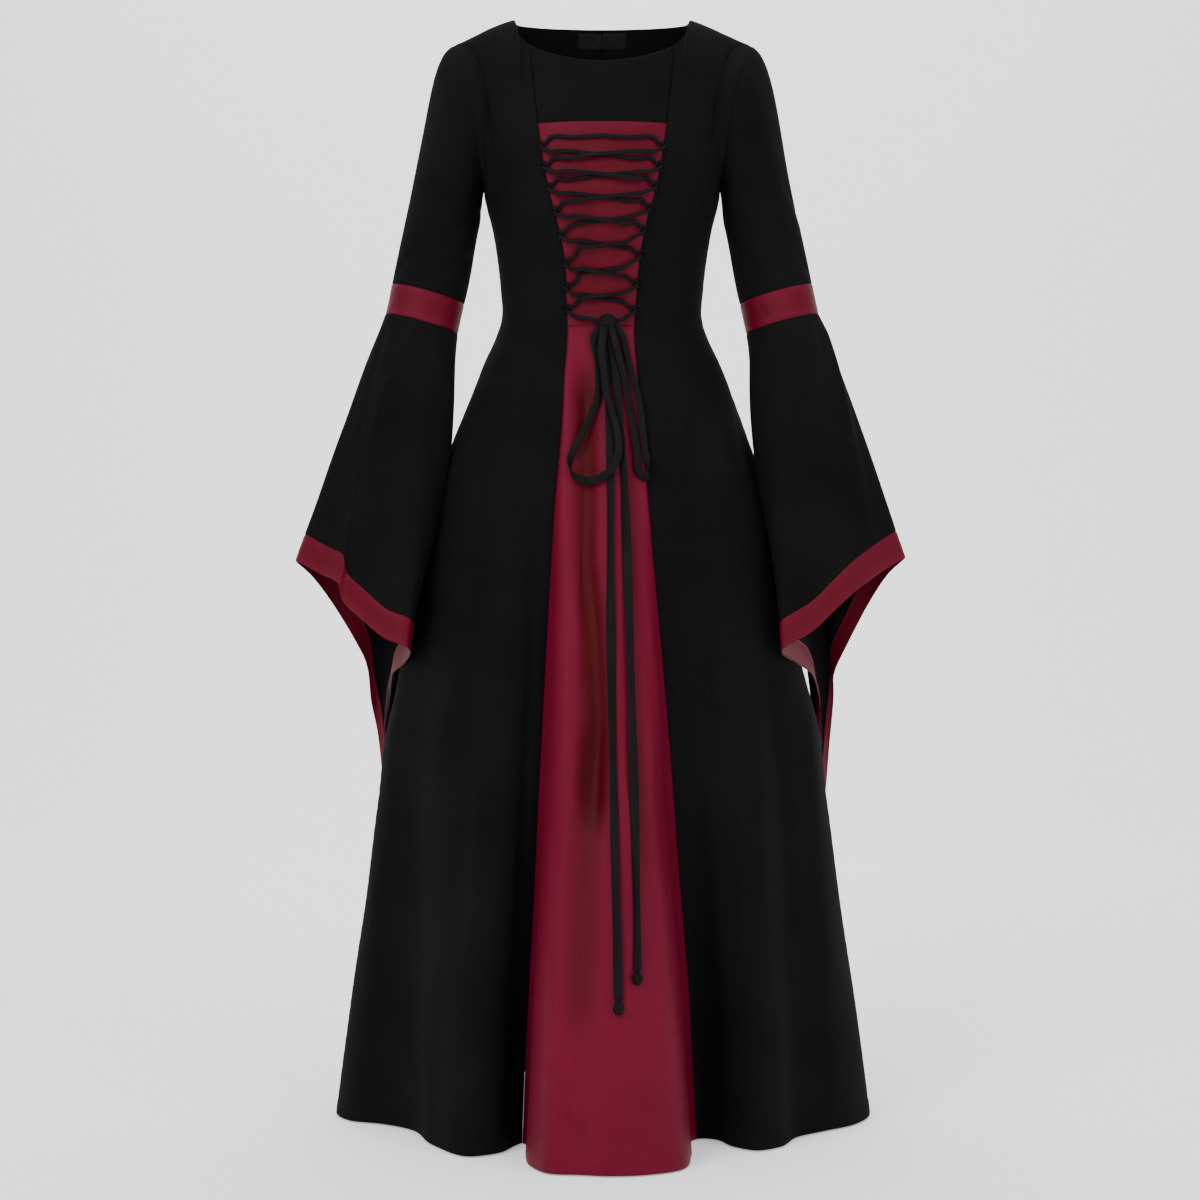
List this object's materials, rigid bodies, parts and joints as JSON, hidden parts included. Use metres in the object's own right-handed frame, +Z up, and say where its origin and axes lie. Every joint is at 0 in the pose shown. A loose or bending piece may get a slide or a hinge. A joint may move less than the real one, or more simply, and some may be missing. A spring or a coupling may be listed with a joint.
{
  "type": "medieval style gown with a laced stomacher",
  "caption": "Floor-length gown, wide neck, laced front panel and centre gore in wine satin, black cloth, long bell sleeves with banded elbows and pointed cuffs.",
  "frame": {"origin": "midway between the two points where the shoulder seams meet the neckline, where the wearer's shoulders hold the gown", "axes": "+Z up along the gown's length, -Y out of its front, +X to the right of someone looking at its front"},
  "size_m": [0.7778, 0.595, 1.4081],
  "materials": {
    "black_cloth": "soft matte black knit",
    "wine_satin": "wine red satin with a soft sheen",
    "label_cloth": "plain black woven tape",
    "lace_cord": "flat black satin cord"
  },
  "bodies": {
    "root": {"centre_front_yoke": "black_cloth", "front_left": "black_cloth", "front_right": "black_cloth", "back_left": "black_cloth", "back_right": "black_cloth", "upper_sleeve_left": "black_cloth", "upper_sleeve_right": "black_cloth", "bell_sleeve_left": "black_cloth", "bell_sleeve_right": "black_cloth", "stomacher": "wine_satin", "front_gore": "wine_satin", "elbow_band_left": "wine_satin", "elbow_band_right": "wine_satin", "cuff_band_left": "wine_satin", "cuff_band_right": "wine_satin", "neck_label": "label_cloth", "lace_loop_left_1": "lace_cord", "lace_loop_right_1": "lace_cord", "lace_loop_left_2": "lace_cord", "lace_loop_right_2": "lace_cord", "lace_loop_left_3": "lace_cord", "lace_loop_right_3": "lace_cord", "lace_loop_left_4": "lace_cord", "lace_loop_right_4": "lace_cord", "lace_loop_left_5": "lace_cord", "lace_loop_right_5": "lace_cord", "lace_loop_left_6": "lace_cord", "lace_loop_right_6": "lace_cord", "lace_loop_left_7": "lace_cord", "lace_loop_right_7": "lace_cord", "lace_loop_left_8": "lace_cord", "lace_loop_right_8": "lace_cord", "lace_left_start": "lace_cord", "lace_right_start": "lace_cord", "bow_knot": "lace_cord", "bow_loop_left": "lace_cord", "bow_loop_right": "lace_cord", "tail_left": "lace_cord", "tail_right": "lace_cord", "end_knot_left": "lace_cord", "end_knot_right": "lace_cord"}
  },
  "joints": []
}
